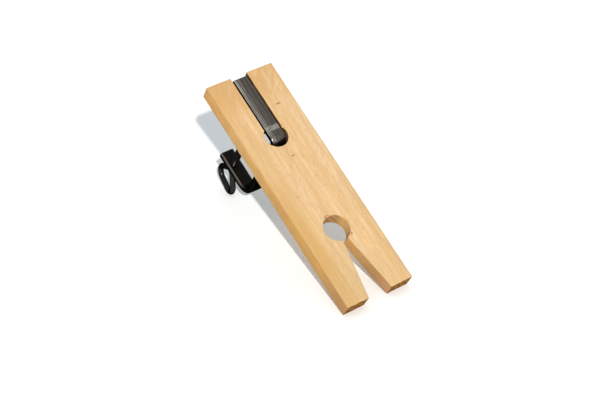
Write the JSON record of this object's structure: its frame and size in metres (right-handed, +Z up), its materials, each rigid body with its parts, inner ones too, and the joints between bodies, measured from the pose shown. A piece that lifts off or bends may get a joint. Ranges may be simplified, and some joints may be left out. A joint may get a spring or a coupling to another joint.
{
  "type": "jewellers bench pin",
  "caption": "Jeweller's bench pin: a wooden work board with a V slot and round hole, held by a bent steel clamp whose screw has a looped handle and a swivel pad",
  "frame": {"origin": "On the surface it lies on, under the middle of the bounding box.", "axes": "+Y from the tips of the V slot to the clamp end, seen from above; +X across the board, to the right when looking along +Y; +Z up. The board rises towards +Y at 33.5 degrees, because it lies on its tips and on the handle of the screw."},
  "size_m": [0.0572, 0.2077, 0.1171],
  "materials": {
    "board_wood": "planed pale hardwood, unfinished",
    "clamp_steel": "blackened, worn to grey on top",
    "screw_steel": "blackened, satin",
    "pad_steel": "blackened, face worn"
  },
  "bodies": {
    "frame": {"pin_board": "board_wood", "clamp_frame": "clamp_steel"},
    "pad": {"swivel_pad": "pad_steel"},
    "screw": {"thumb_screw": "screw_steel"}
  },
  "joints": [
    {"name": "screw_travel", "type": "slide", "parent": "frame", "child": "pad", "axis": [0, -0.5522, 0.8337], "range_m": [-0.063, 0]},
    {"name": "screw_turn", "type": "hinge", "parent": "pad", "child": "screw", "pos_m": [-0.0005, 0.08005, 0.02807], "axis": [0, -0.5522, 0.8337], "range_deg": [-22681, 0]}
  ],
  "couplings": [
    {"joint": "screw_turn", "follows": "screw_travel", "rad_per_m": 6283.2}
  ]
}
